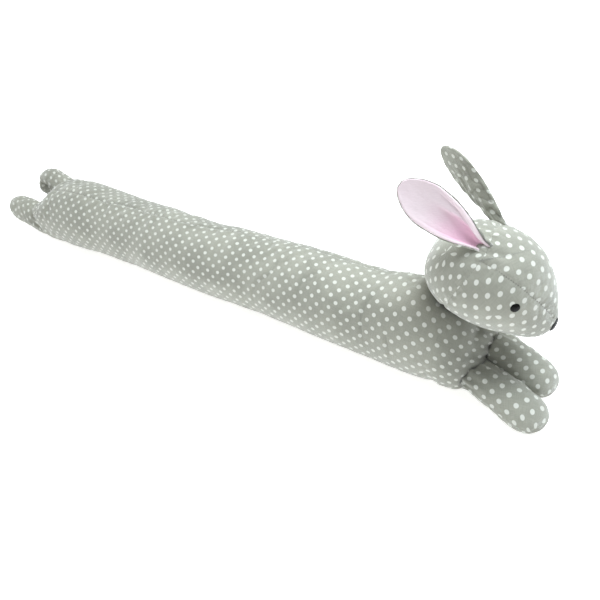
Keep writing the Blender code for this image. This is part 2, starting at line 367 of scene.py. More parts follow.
def to_polyline(x, y, points):
    """Signed distance to a line through points, and how far along it the nearest point lies."""
    best = np.full(x.shape, 1e9)
    side = np.ones(x.shape)
    along = np.zeros(x.shape)
    run = 0.0
    for (x0, y0), (x1, y1) in zip(points, points[1:]):
        dx, dy = x1 - x0, y1 - y0
        length = math.hypot(dx, dy)
        share = np.clip(((x - x0) * dx + (y - y0) * dy) / length**2, 0, 1)
        distance = np.hypot(x - x0 - share * dx, y - y0 - share * dy)
        nearer = distance < best
        best = np.where(nearer, distance, best)
        side = np.where(nearer, np.sign((x - x0) * dy - (y - y0) * dx), side)
        along = np.where(nearer, run + share * length, along)
        run += length
    return best * side, along, run


def settle(points):
    """Presses points flat on to the floor where the filled cloth rests on it."""
    points[..., 2] = np.maximum(points[..., 2] - FLOOR_SINK, 0)
    return points


def normals_of(grid, closed):
    """Normals of a grid of points: rows along a form, columns round it."""
    along = np.gradient(grid, axis=0)
    if closed:
        ring = grid[:, :-1]
        around = (np.roll(ring, -1, axis=1) - np.roll(ring, 1, axis=1)) / 2
        around = np.concatenate([around, around[:, :1]], axis=1)
    else:
        around = np.gradient(grid, axis=1)
    found = np.cross(around, along)
    length = np.linalg.norm(found, axis=-1, keepdims=True)
    return found / np.maximum(length, 1e-9)


def build_grid(name, grid, cloths, seam, material, painted_shading=None, panel=None):
    """A closed mesh from a grid of rings whose first and last columns meet.

    cloths holds where each point is in the print, once for each panel, and panel says
    which of them each face takes. seam holds each point's distance from the nearest seam
    and how far along that seam it lies."""
    rows, columns = grid.shape[0], grid.shape[1] - 1
    points = grid[:, :-1].reshape(-1, 3) * MM
    caps = np.array([grid[0, :-1].mean(axis=0), grid[-1, :-1].mean(axis=0)]) * MM
    i, k = (a.ravel() for a in np.mgrid[0 : rows - 1, 0:columns])
    after = (k + 1) % columns
    this_row, next_row = i * columns, (i + 1) * columns
    quads = np.stack([this_row + k, this_row + after, next_row + after, next_row + k], 1)
    ring = np.arange(columns)
    next_ring = (ring + 1) % columns
    last = (rows - 1) * columns
    tail = np.stack([next_ring, ring, 0 * ring + len(points)], 1)
    tip = np.stack([last + ring, last + next_ring, 0 * ring + len(points) + 1], 1)
    mesh = bpy.data.meshes.new(name)
    faces = quads.tolist() + tail.tolist() + tip.tolist()
    mesh.from_pydata(np.concatenate([points, caps]).tolist(), [], faces)
    of_cap = np.zeros(3 * columns, int)
    row_of = np.concatenate([np.stack([i, i, i + 1, i + 1], 1).ravel(), of_cap, of_cap + rows - 1])
    column_of = np.concatenate(
        [
            np.stack([k, k + 1, k + 1, k], 1).ravel(),
            np.stack([ring + 1, ring, ring], 1).ravel(),
            np.stack([ring, ring + 1, ring], 1).ravel(),
        ]
    )
    which = np.zeros(len(row_of), int)
    if panel is not None:
        which[: 4 * len(i)] = np.repeat(panel.ravel(), 4)
        which[4 * len(i) : 4 * len(i) + 3 * columns] = panel[0, 0]
    cloth = np.stack(cloths)[which, row_of, column_of]
    for title, values in (("cloth", cloth), ("seam", seam[row_of, column_of])):
        layer = mesh.uv_layers.new(name=title)
        layer.data.foreach_set("uv", values.astype(np.float32).ravel())
    # Painted shade: how much darker each point is drawn, in creases and seam grooves, where pieces meet and
    # under the head.
    layer = mesh.attributes.new("painted_shade", "FLOAT", "POINT")
    amounts = np.zeros(len(points) + 2)
    if painted_shading is not None:
        amounts[:-2] = painted_shading[:, :-1].ravel()
    layer.data.foreach_set("value", amounts.astype(np.float32))
    mesh.shade_smooth()
    mesh.materials.append(material)
    made = bpy.data.objects.new(name, mesh)
    bpy.context.scene.collection.objects.link(made)
    outward(made)
    return made


def outward(piece):
    bm = bmesh.new()
    bm.from_mesh(piece.data)
    bmesh.ops.recalc_face_normals(bm, faces=bm.faces)
    bm.to_mesh(piece.data)
    bm.free()


def spline_rows(values, places, count):
    """Values at rows 0 to count - 1, on a smooth curve through values known at some rows."""
    target = np.arange(count)
    segment = np.clip(np.searchsorted(places, target, side="right") - 1, 0, len(places) - 2)
    span = (places[segment + 1] - places[segment]).astype(float)
    t = (target - places[segment]) / span
    shape = (-1,) + (1,) * (values.ndim - 1)
    t, last = t.reshape(shape), len(places) - 1
    before, after = values[np.maximum(segment - 1, 0)], values[np.minimum(segment + 2, last)]
    here, there = values[segment], values[segment + 1]
    leave, arrive = (there - before) / 2, (after - here) / 2
    near, far = (1 + 2 * t) * (1 - t) ** 2, t * t * (3 - 2 * t)
    return near * here + far * there + t * (1 - t) ** 2 * leave - t * t * (1 - t) * arrive


def filled(grid, held, row_step, column_step, slack, cap):
    """How far each point of a closed form moves when its cloth swells over the filling.

    A coarse copy of the form is simulated: held is 1 where a seam holds the cloth still, and
    slack is how much longer the cloth is cut than the form. cap limits the move in millimetres."""
    rows, columns = grid.shape[0], grid.shape[1] - 1
    at_rows = np.unique(np.append(np.arange(0, rows, row_step), rows - 1))
    at_columns = np.arange(0, columns, column_step)
    coarse = grid[np.ix_(at_rows, at_columns)]
    fixed = held[np.ix_(at_rows, at_columns)]
    count = len(at_columns)
    points = coarse.reshape(-1, 3)
    caps = np.stack([coarse[0].mean(axis=0), coarse[-1].mean(axis=0)])
    faces = []
    for i in range(len(at_rows) - 1):
        for k in range(count):
            after = (k + 1) % count
            faces.append((i * count + k, i * count + after, (i + 1) * count + after, (i + 1) * count + k))
    last = (len(at_rows) - 1) * count
    for k in range(count):
        after = (k + 1) % count
        faces.append((after, k, len(points)))
        faces.append((last + k, last + after, len(points) + 1))
    mesh = bpy.data.meshes.new("filling")
    mesh.from_pydata((np.concatenate([points, caps]) * MM).tolist(), [], faces)
    trial = bpy.data.objects.new("filling", mesh)
    bpy.context.scene.collection.objects.link(trial)
    outward(trial)
    group = trial.vertex_groups.new(name="held")
    for index, weight in enumerate([*fixed.ravel().tolist(), 1.0, 1.0]):
        group.add([index], weight, "REPLACE")
    cloth = trial.modifiers.new("cloth", "CLOTH")
    cloth.settings.quality = 6
    cloth.settings.mass = 0.3
    cloth.settings.tension_stiffness = 15
    cloth.settings.compression_stiffness = 15
    cloth.settings.shear_stiffness = 5
    cloth.settings.bending_stiffness = 0.3
    cloth.settings.vertex_group_mass = "held"
    cloth.settings.use_pressure = True
    cloth.settings.uniform_pressure_force = CLOTH_PRESSURE
    cloth.settings.shrink_min = -slack
    cloth.settings.effector_weights.gravity = 0
    scene = bpy.context.scene
    for step in range(1, CLOTH_STEPS + 1):
        scene.frame_set(step)
    settled = trial.evaluated_get(bpy.context.evaluated_depsgraph_get()).data
    found = np.zeros(len(settled.vertices) * 3)
    settled.vertices.foreach_get("co", found)
    move = found.reshape(-1, 3)[: len(points)] / MM - points
    length = np.linalg.norm(move, axis=1, keepdims=True)
    move *= cap * np.tanh(length / cap) / np.maximum(length, 1e-6)
    bpy.data.objects.remove(trial)
    scene.frame_set(1)
    move = move.reshape(coarse.shape)
    move = spline_rows(move, at_rows, rows)
    wrapped = np.concatenate([move[:, -2:], move, move[:, :3]], axis=1).swapaxes(0, 1)
    before = column_step * np.arange(-2, 0)
    beyond = columns + column_step * np.arange(3)
    places = np.concatenate([before, at_columns, beyond])
    shift = 2 * column_step
    full = spline_rows(wrapped, places + shift, columns + 1 + shift)
    return full[shift:].swapaxes(0, 1)


def stand_in(piece, node):
    """Puts a piece in place of a solid of the part."""
    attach(piece, "root")
    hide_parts(node)
    return piece


def tube_grid():
    """Points of the tube, and the angle of each from its top towards the rabbit's right."""
    tail, front = BODY_SECTIONS[0][0], BODY_SECTIONS[-1][0]
    x = np.concatenate(
        [
            np.linspace(tail, TUBE_SHOULDERS[0], TUBE_END_ROWS)[:-1],
            np.linspace(*TUBE_SHOULDERS, TUBE_ROWS),
            np.linspace(TUBE_SHOULDERS[1], front, TUBE_END_ROWS)[1:],
        ]
    )
    (seam,) = curve_rows(BACK_SEAM, x)
    angle = np.radians(seam)[:, None] + 2 * np.pi * np.linspace(0, 1, TUBE_SIDES + 1)[None, :]
    place = np.broadcast_to(x[:, None], angle.shape)
    half_width, half_height, side, height, tilt = (c[:, None] for c in curve_rows(BODY_SECTIONS, x))
    (rise,) = (c[:, None] for c in curve_rows(NECK_RISE, x))
    turn = np.radians(tilt)
    across, up = -half_width * np.sin(angle - turn), half_height * np.cos(angle - turn)
    grid = np.stack(
        [
            place + 0 * angle,
            side + across * np.cos(turn) - up * np.sin(turn),
            height + across * np.sin(turn) + up * np.cos(turn) + rise * np.maximum(np.cos(angle), 0) ** 3,
        ],
        axis=-1,
    )
    return x, angle, grid


def make_tube(material):
    """The filled tube, with its creases, its seams, the gathers at its ends and its print, and painted shade
    in its creases and gathers, under the head and beside the paws.
    """
    x, angle, grid = tube_grid()
    outward_way = normals_of(grid, True)
    place = grid[..., 0]
    signed = (angle + np.pi) % (2 * np.pi) - np.pi
    arc = signed * TUBE_RADIUS
    move = np.zeros(angle.shape)
    painted_shading = np.zeros(angle.shape)
    for depth, points in TUBE_FOLDS:
        path = [(at, math.radians(turn) * TUBE_RADIUS) for at, turn in points]
        centre = path[len(path) // 2][1]
        near = centre + (arc - centre + math.pi * TUBE_RADIUS) % (2 * math.pi * TUBE_RADIUS)
        near -= math.pi * TUBE_RADIUS
        distance, along, run = to_polyline(place, near, path)
        fade = np.clip(np.sin(np.pi * np.clip((along + 6) / (run + 12), 0, 1)), 0, 1) ** 0.6
        fade *= bell(np.maximum(np.abs(distance) - 30, 0), 10)
        move -= depth * fade * (0.32 * bell(distance - 5, 9) + 0.42 * bell(distance, 1.7))
        move += depth * fade * 0.32 * bell(distance + 4.5, 4.2)
        # Painted shade along each of these creases.
        painted_shading += 0.16 * depth * fade * bell(distance, 1.6)
    move += 0.9 * lumps(grid, 46, 1) + 0.35 * lumps(grid, 17, 2)
    seam_angle = angle[:, :1]
    to_seam = (angle - seam_angle) * TUBE_RADIUS
    round_it = 2 * np.pi * TUBE_RADIUS
    to_seam = np.where(to_seam > round_it / 2, to_seam - round_it, to_seam)
    pucker = 0.35 * lumps(np.stack([place / 5, to_seam / 14, 0 * place], axis=-1) * 4, 4, 3)
    move += -1.5 * bell(to_seam, 2.2) + pucker * bell(to_seam, 12)
    from_tail, from_front = place - BODY_SECTIONS[0][0], BODY_SECTIONS[-1][0] - place
    gather = np.cos(angle * 17 + 3 * lumps(grid, 30, 4))
    move += gather * (np.exp(-from_tail / 13) + 1.7 * np.exp(-from_front / 12)) - 0.3
    move += 1.4 * bell(from_front - 6, 4) - 1.2 * bell(from_front - 15, 3.5)
    # Painted shade in the hollows of the gathers at the front end.
    painted_shading += 0.5 * np.clip(-gather - 0.2, 0, 1) * np.exp(-from_front / 9)
    ends = np.exp(-from_tail / 9) + np.exp(-from_front / 9)
    held = np.clip(bell(to_seam, 5) + ends, 0, 1)
    swell = filled(grid, held, 3, 3, 0.02, 2.5)
    grid = grid + outward_way * move[..., None] + swell
    grid[:, -1] = grid[:, 0]
    grid = settle(grid)
    # Painted shade: the tube is drawn darker under the head and beside the paws' roots.
    front = x > NEAR_HEAD
    under_head = gap_to(grid[front], "head", 50)
    painted_shading[front] += 1.5 * bell(under_head, 4) + 0.8 * bell(under_head, 22)
    by_paw = np.minimum(gap_to(grid[front], "paw_right", 12), gap_to(grid[front], "paw_left", 12))
    painted_shading[front] += 1.6 * bell(by_paw, 2.2)

    row, column = (c[:, None] for c in curve_rows(TUBE_PRINT, x))
    half_height = curve_rows(BODY_SECTIONS, x)[1][:, None]
    (rise,) = (c[:, None] for c in curve_rows(NECK_RISE, x))
    level = np.cos(angle)
    drawn = np.arctan2(np.sin(angle), level + rise / half_height * np.maximum(level, 0) ** 3)
    arc = (angle + (drawn - angle + np.pi) % (2 * np.pi) - np.pi) * TUBE_RADIUS
    under = np.clip((angle - 1.9) / 2.4, 0, 1)
    under = under * under * (3 - 2 * under)
    cloth = np.stack([row + ROUND_TUBE[0] * arc, column + ROUND_TUBE[1] * arc + SEAM_STEP * under], axis=-1)
    seam = np.stack([to_seam, place], axis=-1)
    piece = build_grid("tube", grid, [cloth], seam, material, painted_shading)
    return stand_in(piece, "body")


def unrolled(points, print_row):
    """Where points of the head lie in the print, on cloth unrolled about the panel's centre."""
    centre, facing, radius, rows, columns = print_row
    facing = np.array(facing) / np.linalg.norm(facing)
    first = np.array((1.0, 0, 0)) - facing * facing[0]
    first /= np.linalg.norm(first)
    second = np.cross(facing, first)
    away = points - np.array(centre)
    flat = np.stack([away @ first, away @ second], axis=-1)
    straight = np.linalg.norm(away, axis=-1)
    rolled = 2 * radius * np.arcsin(np.clip(straight / 2 / radius, 0, 1))
    flat *= (rolled / np.maximum(np.linalg.norm(flat, axis=-1), 1e-6))[..., None]
    return print_place(flat[..., 0], flat[..., 1], rows, columns)


def print_place(p, q, rows, columns):
    found = []
    for turn, pitch, offset in (rows, columns):
        turn = math.radians(turn)
        found.append((p * math.cos(turn) + q * math.sin(turn)) / pitch + offset)
    return np.stack(found, axis=-1)


def placed(point, yaw, pitch):
    """Where a form goes that starts at a point and looks along a yaw and a pitch in degrees."""
    turn = Euler((0, math.radians(-pitch), math.radians(yaw)), "XYZ").to_matrix().to_4x4()
    return Matrix.Translation(point) @ turn


def moved(points, matrix):
    matrix = np.array(matrix)
    return points @ matrix[:3, :3].T + matrix[:3, 3]


def oval_grid(table, x, angle):
    """Points of a stuffed form with oval sections, at each x and angle from its top."""
    half_width, top, under = curve_rows(table, x.ravel())
    half_width, top, under = (c.reshape(x.shape) for c in (half_width, top, under))
    up = (top + under) / 2 + (top - under) / 2 * np.cos(angle)
    return np.stack([x, -half_width * np.sin(angle), up], axis=-1)


def make_head(material):
    """The filled head, its grid laid along the gusset's seams and the seam at the nape."""
    back, front = HEAD_SECTIONS[0][0], HEAD_SECTIONS[-1][0]
    x = eased(back, front, HEAD_ROWS)
    nape_row = int(np.argmin(np.abs(x - NAPE_SEAM)))
    x = x + (NAPE_SEAM - x[nape_row]) * bell(x - NAPE_SEAM, 20)
    angle = np.linspace(-180, 180, HEAD_SIDES + 1)
    gusset_column = GUSSET_ANGLE * HEAD_SIDES // 360
    x = np.broadcast_to(x[:, None], (HEAD_ROWS, HEAD_SIDES + 1)).copy()
    angle = np.broadcast_to(angle[None, :], x.shape).copy()
    x += NAPE_SEAM_BOW * bell(angle, 26) * bell(x - NAPE_SEAM, 24)
    (seam_angle,) = curve_rows(GUSSET_SEAM, x.ravel())
    seam_angle = seam_angle.reshape(x.shape)
    inside = np.abs(angle) <= GUSSET_ANGLE
    wide = seam_angle + (np.abs(angle) - GUSSET_ANGLE) * (180 - seam_angle) / (180 - GUSSET_ANGLE)
    turned = np.sign(angle) * np.where(inside, np.abs(angle) * seam_angle / GUSSET_ANGLE, wide)
    radians = np.radians(turned)
    grid = oval_grid(HEAD_SECTIONS, x, radians)
    way = normals_of(grid, True)

    (half_width,) = curve_rows([row[:2] for row in HEAD_SECTIONS], x.ravel())
    half_width = half_width.reshape(x.shape)
    to_gusset = np.radians(np.abs(turned) - seam_angle) * half_width
    seam_x = NAPE_SEAM + NAPE_SEAM_BOW * bell(turned, 26)
    to_nape = x - seam_x
    row = np.arange(HEAD_ROWS)[:, None] + 0 * x
    ahead = row >= nape_row
    on_gusset = ahead & (np.abs(to_gusset) < np.abs(to_nape))
    hidden = 1.4 * np.clip((10 - x) / 12, 0, 1)
    to_line = to_gusset + np.where(to_gusset < 0, -hidden, hidden)
    distance = np.where(on_gusset, to_line, to_nape + np.where(to_nape < 0, -1.4, 1.4))
    along = np.where(on_gusset, x, radians * HEAD_RADIUS)

    move = 0.8 * lumps(grid, 30, 5) + 0.3 * lumps(grid, 12, 6)
    gusset_fade = np.clip((x - seam_x) / 4, 0, 1) * np.clip((80 - x) / 6, 0, 1)
    ripple = lumps(np.stack([x, 0 * x, np.sign(angle) * 40 + 0 * x], axis=-1), 3.2, 7)
    move -= (0.8 + 0.4 * ripple) * bell(to_gusset, 1.9) * gusset_fade
    move += 0.5 * ripple * bell(to_gusset, 7) * gusset_fade
    crimp = lumps(np.stack([0 * x, radians * 52, 0 * x], axis=-1), 3.6, 8)
    move -= (0.8 + 0.4 * crimp) * bell(to_nape, 1.9)
    move += 0.8 * crimp * bell(to_nape, 10)
    for mirror in (1, -1):
        arc = turned * mirror
        for rise, points in HEAD_FOLDS:
            path = [(at, math.radians(turn) * HEAD_RADIUS) for at, turn in points]
            gap, reach, run = to_polyline(x, np.radians(arc) * HEAD_RADIUS, path)
            move += rise * bell(gap, 3.0) * np.sin(np.pi * np.clip((reach + 3) / (run + 6), 0, 1))
    held = np.clip(bell(to_gusset, 4) * gusset_fade + bell(to_nape, 4), 0, 1)
    swell = filled(grid, held, 2, 3, 0.02, 1.8)
    grid = grid + way * move[..., None] + swell
    grid[:, -1] = grid[:, 0]

    mirrored = grid * np.where(grid[..., 1:2] > 0, (1, -1, 1), (1, 1, 1))
    cheek = unrolled(mirrored, HEAD_PRINTS["cheek"])
    gusset = unrolled(grid, HEAD_PRINTS["gusset"])
    nape = unrolled(mirrored, HEAD_PRINTS["nape"])
    world = moved(grid, placed(HEAD_CENTRE, 0, -HEAD_NOD))
    # Painted shade along the gusset's seam and where the head rests on the body.
    painted_shading = 0.12 * bell(to_gusset, 1.2) * gusset_fade * (x > 5)
    painted_shading += 1.4 * bell(gap_to(world, "body", 12), 3.0)
    panel = np.zeros((HEAD_ROWS - 1, HEAD_SIDES), int)
    middle = np.abs(np.arange(HEAD_SIDES) + 0.5 - HEAD_SIDES / 2)
    panel[:, middle < gusset_column] = 1
    panel[:nape_row] = 2
    seam = np.stack([distance, along], axis=-1)
    piece = build_grid("stuffed_head", world, [cheek, gusset, nape], seam, material, painted_shading, panel)
    return stand_in(piece, "head")


def make_limb(name, table, point, yaw, pitch, rows, columns, material):
    """A stuffed paw or foot. rows and columns say how the print lies on it."""
    x = eased(table[0][0], table[-1][0], LIMB_ROWS)
    angle = np.linspace(-np.pi, np.pi, LIMB_SIDES + 1)
    x = np.broadcast_to(x[:, None], (LIMB_ROWS, LIMB_SIDES + 1)).copy()
    angle = np.broadcast_to(angle[None, :], x.shape)
    grid = oval_grid(table, x, angle)
    way = normals_of(grid, True)
    (half_width,) = curve_rows([row[:2] for row in table], x.ravel())
    to_seam = (np.abs(angle) - np.radians(SIDE_SEAM)) * half_width.reshape(x.shape)
    ripple = lumps(np.stack([x, np.sign(angle) * 30, 0 * x], axis=-1), 3.4, 11 + len(name))
    move = 0.7 * lumps(grid, 24, len(name)) + 0.3 * lumps(grid, 9, 12)
    move -= (1.2 + 0.4 * ripple) * bell(to_seam, 1.8)
    move += 0.5 * ripple * bell(to_seam, 7)
    root = np.exp(-np.maximum(x - 4, 0) / 14)
    move += 1.3 * np.cos(angle * 11 + 2 * lumps(grid, 25, 13)) * root
    swell = filled(grid, np.clip(bell(to_seam, 3) + root, 0, 1), 2, 2, 0.02, 1.2)
    world = moved(grid + way * move[..., None] + swell, placed(point, yaw, pitch))
    # Painted shade along the side seams.
    painted_shading = 0.5 * bell(to_seam, 1.2)
    centre = world[:, :-1].mean(axis=1)[:, None]
    for limb, start, end, depth, width in LIMB_FOLDS:
        if limb == name:
            start, end = np.array(start, float), np.array(end, float)
            line = end - start
            share = np.clip(((world - start) @ line) / (line @ line), 0, 1)
            gap = np.linalg.norm(world - start - share[..., None] * line, axis=-1)
            inward = centre - world
            inward /= np.maximum(np.linalg.norm(inward, axis=-1, keepdims=True), 1e-6)
            world = world + inward * (depth * bell(gap, width))[..., None]
            # Painted shade in the pressed-in dent.
            painted_shading = painted_shading + 0.3 * bell(gap, 2.5)
    world[:, -1] = world[:, 0]
    world = settle(world)
    # Painted shade where the limb meets the body.
    painted_shading = painted_shading + 1.6 * bell(gap_to(world, "body", 12), 2.0)
    profile = curve_rows(table, x[:, 0])
    size = profile[0] / profile[0].max()
    middle = int(np.argmax(size))
    step = np.hypot(np.diff(x[:, 0]), np.diff(profile[1]) * (np.arange(LIMB_ROWS - 1) >= middle))
    run = x[0, 0] + np.concatenate([[0], np.cumsum(step)])[:, None] + 0 * x
    cloth = print_place(run, angle * LIMB_RADIUS * size[:, None], rows, columns)
    seam = np.stack([to_seam, x], axis=-1)
    piece = build_grid("stuffed_" + name, world, [cloth], seam, material, painted_shading)
    return stand_in(piece, name)


def ear_surface(side, distance, share):
    """Points of the ear's own surface in millimetres, and the way its back looks there."""
    mirror = np.array((1.0, side, 1.0))
    root, tip, facing = (np.array(p) * mirror for p in (EAR_ROOT, EAR_TIP, EAR_FACING))
    along = (tip - root) / np.linalg.norm(tip - root)
    across = np.cross(along, facing)
    across *= side / np.linalg.norm(across)
    facing = np.cross(across, along)
    facing *= side / np.linalg.norm(facing)
    half_width, half_angle = curve_rows(EAR_LEAF, distance.ravel())
    half_width, half_angle = half_width.reshape(distance.shape), half_angle.reshape(distance.shape)
    half_angle = np.radians(half_angle)
    radius = half_width / half_angle
    turn = share * half_angle
    back = across * np.sin(turn)[..., None] - facing * np.cos(turn)[..., None]
    points = root + along * distance[..., None] + (facing + back) * radius[..., None]
    return points, back, half_width


def make_ear(word, side, layer, material):
    """One layer of an ear: the dotted outer one or the pink lining."""
    lining = layer == "ear_lining"
    inset = LINING_INSET if lining else 0.0
    start, end = EAR_START, EAR_LEAF[-1][0] - inset
    distance = start + (end - start) * np.sin(np.linspace(0, np.pi / 2, EAR_ROWS)) ** 0.9
    (half_width, _) = curve_rows(EAR_LEAF, distance)
    reach = (1 - inset / np.maximum(half_width, inset + 0.4))[:, None]
    share = np.sin(np.linspace(-np.pi / 2, np.pi / 2, EAR_COLUMNS))[None, :] * reach
    distance = np.broadcast_to(distance[:, None], share.shape).copy()
    points, back, width = ear_surface(side, distance, share)
    to_edge = np.minimum(width * (reach - np.abs(share)), (end - distance) * 0.9)
    to_edge = np.maximum(to_edge, 0)
    round_off = np.sqrt(np.clip(1 - (1 - np.clip(to_edge / 1.2, 0, 1)) ** 2, 0, 1))
    thick = EAR_LAYER * (0.35 + 0.65 * round_off)
    # p runs across the leaf from its middle, and q along it from the head.
    p, q = share * width, distance
    wave = lumps(np.stack([p / 5, q / 20, 0 * p + side], axis=-1) * 4, 4, 25)
    painted_shading = np.zeros(p.shape)
    if lining:
        (crest_at,) = curve_rows(EAR_CREST, q.ravel())
        above = -p - crest_at.reshape(q.shape)
        fade = np.clip((q - 2) / 10, 0, 1) * np.clip((68 - q) / 22, 0, 1)
        rolled = np.clip((78 - q) / 30, 0, 1) * np.where(p < 0, 1.0, 0.55)
        puff = (0.9 * bell(to_edge - 2.4, 1.5) - 0.5 * bell(to_edge - 4.9, 1.1)) * rolled
        puff += 2.3 * fade * np.where(above > 0, bell(above, 4.5), bell(above, 1.6))
        puff += 0.4 * lumps(points, 15, 21 + side) + 0.25 * wave
        near, far = -SEAT_GAP / 2, -SEAT_GAP / 2 - thick - (0.3 + puff) * round_off
        # Painted shade: the lining is drawn deeper pink towards its root and most of all below its crest,
        # where it is sheltered, and less so along its rolled rim.
        shelter = 1 / (1 + np.exp(above / 1.3))
        painted_shading = np.clip((76 - q) / 62, 0, 1) ** 1.1 * (0.25 + 0.75 * shelter)
        rim = to_edge + 4.5 * (1 - rolled)
        painted_shading *= 1 - 0.8 / (1 + np.exp((rim - 4.2) / 0.35))
    else:
        crumpled = np.clip((90 - q) / 45, 0, 1)
        ridge = lumps(np.stack([p * 0.8, q * 0.45, 9.0 * side + 0 * p], axis=-1), 4.5, 28)
        shaded_crease = bell(ridge, 0.12) * crumpled
        rim = to_edge
        puff = 0.6 * bell(to_edge - 2.4, 1.8) + 0.6 * wave + 0.25 * lumps(points, 6, 24)
        puff = np.maximum(puff + 2.2 * ridge * crumpled - 0.9 * shaded_crease, -0.8)
        near, far = SEAT_GAP / 2, SEAT_GAP / 2 + thick + (0.3 + puff) * round_off
        # Painted shade in the hollows of the crumples and ridges, and along the edge on one side near the
        # root.
        painted_shading = 0.35 * np.clip(-wave, 0, 1) + 0.8 * shaded_crease
        painted_shading += 1.2 * bell(to_edge, 2.2) * np.clip((16 - q) / 10, 0, 1) * (p < 0)
    inner = points + back * (near * np.ones_like(share))[..., None]
    outer = points + back * far[..., None]
    grid = np.concatenate([outer, inner[:, ::-1], outer[:, :1]], axis=1)
    p, q, edge, painted_shading = (np.concatenate([f, f[:, ::-1], f[:, :1]], axis=1) for f in (p, q, rim, painted_shading))
    cloth = print_place(p, q, *EAR_PRINT)
    name = layer + "_" + word
    seam = np.stack([edge if lining else 20 + edge, q], axis=-1)
    piece = build_grid(name + "_cloth", grid, [cloth], seam, material, painted_shading)
    stand_in(piece, name)
    steps = np.linspace(start, end, 200)
    (widths, _) = curve_rows(EAR_LEAF, steps)
    return piece


def make_button(name, point, profile, wide, high, material):
    """A round piece standing on the head, turned about the way the head's surface looks there."""
    place, way, _, _ = SURFACES["head"].find_nearest(Vector(point) * MM)
    level = Vector((0, 0, 1)).cross(way).normalized()
    upright = way.cross(level)
    angle = np.linspace(0, 2 * np.pi, BUTTON_SIDES + 1)
    place, way, level, upright = (np.array(v) for v in (place / MM, way, level, upright))
    radius, rise = (np.array(column)[:, None] for column in zip(*profile))
    spoke = level * (wide * np.cos(angle))[:, None] + upright * (high * np.sin(angle))[:, None]
    grid = place + spoke[None] * radius[..., None] + way * (rise + 0 * angle)[..., None]
    cloth = np.stack([radius * wide * np.cos(angle), radius * high * np.sin(angle)], axis=-1)
    piece = build_grid(name + "_dome", grid, [cloth], cloth, material)
    return stand_in(piece, name)


def rounded(height, rim, steps):
    """A dome's profile: share of the radius, and rise, from the flat back to the crown."""
    rows = [(0.86, -1.2), (0.97, -0.9), (1.0, -0.3), (1.0, rim * 0.5), (0.985, rim)]
    for step in range(1, steps):
        turn = math.pi / 2 * step / steps
        rows.append((0.94 * math.cos(turn), rim + (height - rim) * math.sin(turn)))
    return rows


class Weave:
    """Builds a material's nodes. Every input may be a number, a colour or another node's output."""

    def __init__(self, name):
        self.material = bpy.data.materials.new(name)
        self.material.use_nodes = True
        self.tree = self.material.node_tree
        self.shader = self.tree.nodes["Principled BSDF"]

    def node(self, kind, inputs=(), output=0, **settings):
        made = self.tree.nodes.new("ShaderNode" + kind)
        for key, value in settings.items():
            setattr(made, key, value)
        for key, value in dict(inputs).items():
            self.feed(made.inputs[key], value)
        return made.outputs[output]

    def feed(self, socket, value):
        if isinstance(value, bpy.types.NodeSocket):
            self.tree.links.new(value, socket)
        elif isinstance(value, tuple) and len(value) == 3 and socket.type == "RGBA":
            socket.default_value = (*value, 1)
        else:
            socket.default_value = value

    def math(self, operation, *values):
        return self.node("Math", enumerate(values), operation=operation)

    def ramp(self, value, low, high, to_low=0.0, to_high=1.0):
        inputs = {"Value": value, "From Min": low, "From Max": high, "To Min": to_low, "To Max": to_high}
        return self.node("MapRange", inputs, interpolation_type="SMOOTHSTEP")

    def noise(self, vector, scale, detail=2.0, output=0):
        return self.node("TexNoise", {"Vector": vector, "Scale": scale, "Detail": detail}, output)

    def mix(self, factor, first, second):
        inputs = {"Factor": factor, 6: first, 7: second}
        return self.node("Mix", inputs, 2, data_type="RGBA")

    def place(self, title):
        return self.node("UVMap", uv_map=title)

    def split(self, vector):
        made = self.node("SeparateXYZ", {"Vector": vector})
        return made, made.node.outputs[1]

    def threads(self, u, v, count):
        """Height of a plain weave with count threads to each unit of u and v."""
        first, second = self.math("MULTIPLY", u, math.pi * count), self.math("MULTIPLY", v, math.pi * count)
        sine_first, sine_second = self.math("SINE", first), self.math("SINE", second)
        over = self.math("MULTIPLY", sine_first, sine_second)
        warp = self.math("MULTIPLY_ADD", over, 0.6, self.math("ABSOLUTE", sine_first))
        weft = self.math("MULTIPLY_ADD", over, -0.6, self.math("ABSOLUTE", sine_second))
        return self.math("MAXIMUM", warp, weft)

    def bump(self, height, distance, strength=1.0, under=None):
        inputs = {"Height": height, "Distance": distance, "Strength": strength}
        if under is not None:
            inputs["Normal"] = under
        return self.node("Bump", inputs)

    def surface(self, **values):
        for key, value in values.items():
            self.feed(self.shader.inputs[key.replace("_", " ")], value)
        return self.material


